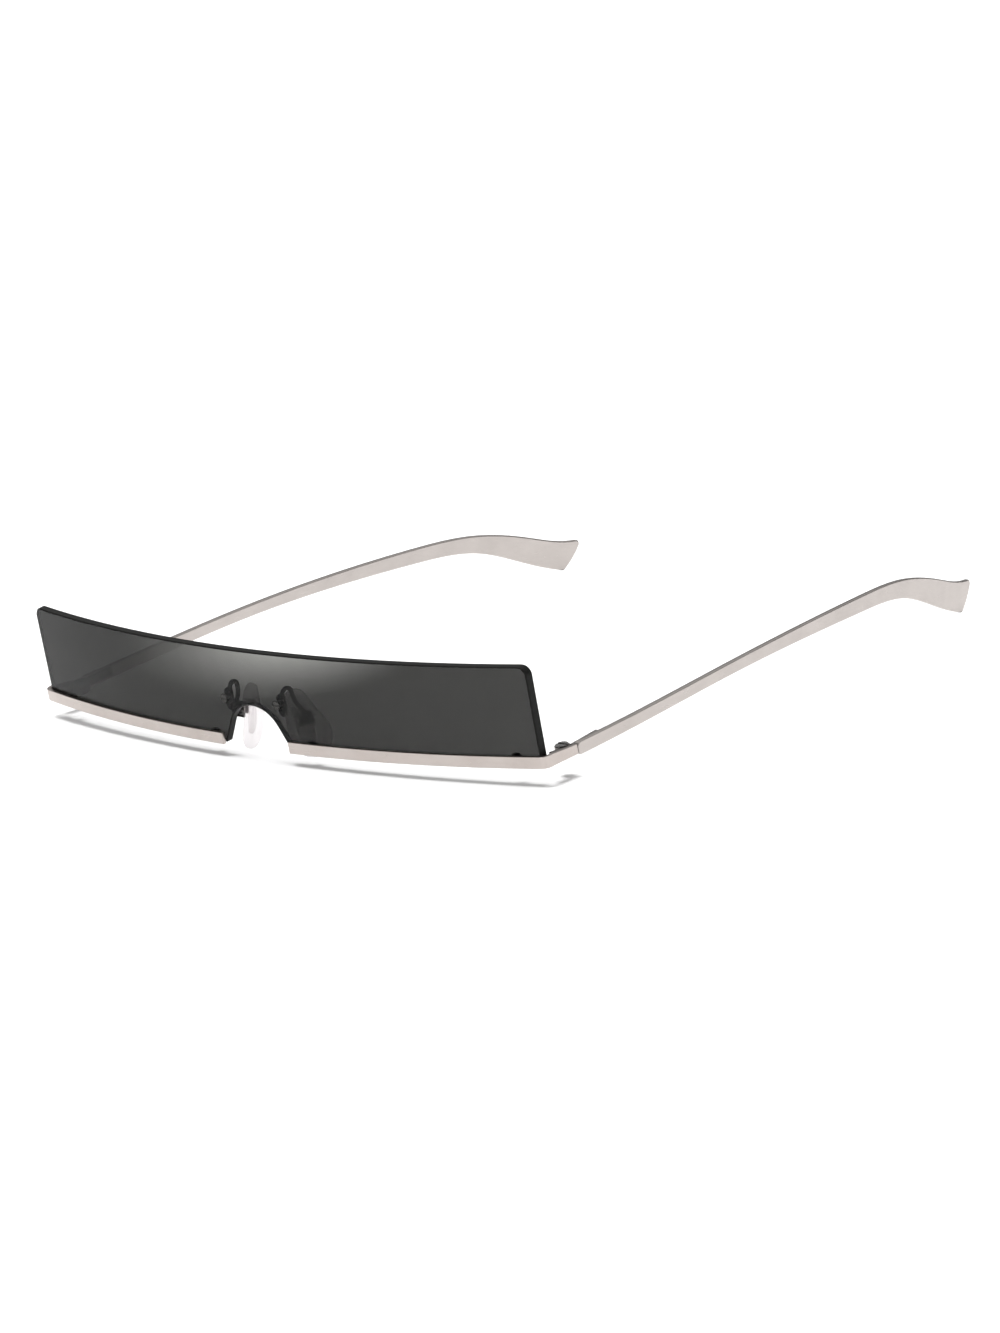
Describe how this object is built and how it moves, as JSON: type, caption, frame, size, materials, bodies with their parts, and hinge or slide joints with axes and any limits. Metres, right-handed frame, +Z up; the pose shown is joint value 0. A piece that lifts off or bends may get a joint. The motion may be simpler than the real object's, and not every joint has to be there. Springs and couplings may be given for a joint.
{
  "type": "narrow shield sunglasses",
  "caption": "Narrow smoke shield sunglasses with slim metal lower bars, flat folding metal temples with fishtail tips, and clear rocking nose pads on looped wire arms.",
  "frame": {"origin": "on the table plane that the pads and the temple tips rest on, below the middle of the bounding box", "axes": "+X to the wearer's left, +Y from the lens towards the temple tips, +Z up from the table"},
  "size_m": [0.1416, 0.1678, 0.0249],
  "materials": {
    "lens": "polished smoke grey polycarbonate",
    "frame_metal": "satin rose champagne plated stainless steel",
    "arm_metal": "satin stainless steel",
    "screw_metal": "polished steel",
    "pad_silicone": "clear soft silicone",
    "clear_plastic": "clear hard plastic"
  },
  "bodies": {
    "front": {"lens": "lens", "rim_bar_left": "frame_metal", "rim_bar_right": "frame_metal", "front_hinge_leaf_left": "frame_metal", "front_hinge_leaf_right": "frame_metal", "hinge_screw_left": "screw_metal", "hinge_screw_right": "screw_metal", "pad_arm_left": "arm_metal", "pad_arm_right": "arm_metal", "pad_arm_screw_left": "screw_metal", "pad_arm_screw_right": "screw_metal", "pad_screw_left": "screw_metal", "pad_screw_right": "screw_metal", "inner_rim_screw_left": "screw_metal", "inner_rim_screw_right": "screw_metal", "inner_rim_washer_left": "clear_plastic", "inner_rim_washer_right": "clear_plastic", "outer_rim_screw_left": "screw_metal", "outer_rim_screw_right": "screw_metal", "outer_rim_washer_left": "clear_plastic", "outer_rim_washer_right": "clear_plastic"},
    "left_temple": {"temple_left": "frame_metal", "temple_hinge_leaf_left": "frame_metal"},
    "right_temple": {"temple_right": "frame_metal", "temple_hinge_leaf_right": "frame_metal"},
    "left_pad": {"nose_pad_left": "pad_silicone", "pad_core_left": "clear_plastic"},
    "right_pad": {"nose_pad_right": "pad_silicone", "pad_core_right": "clear_plastic"}
  },
  "joints": [
    {"name": "left_temple_fold", "type": "hinge", "parent": "front", "child": "left_temple", "pos_m": [0.0676, -0.06445, 0.00522], "axis": [0, -0.1333, 0.9911], "range_deg": [0, 90]},
    {"name": "right_temple_fold", "type": "hinge", "parent": "front", "child": "right_temple", "pos_m": [-0.0676, -0.06445, 0.00522], "axis": [0, 0.1333, -0.9911], "range_deg": [0, 86]},
    {"name": "left_pad_rock", "type": "hinge", "parent": "front", "child": "left_pad", "pos_m": [0.009, -0.07563, 0.00876], "axis": [0.3635, 0.9068, 0.2134], "range_deg": [-8, 8]},
    {"name": "right_pad_rock", "type": "hinge", "parent": "front", "child": "right_pad", "pos_m": [-0.009, -0.07563, 0.00876], "axis": [-0.3635, 0.9068, 0.2134], "range_deg": [-8, 8]}
  ]
}
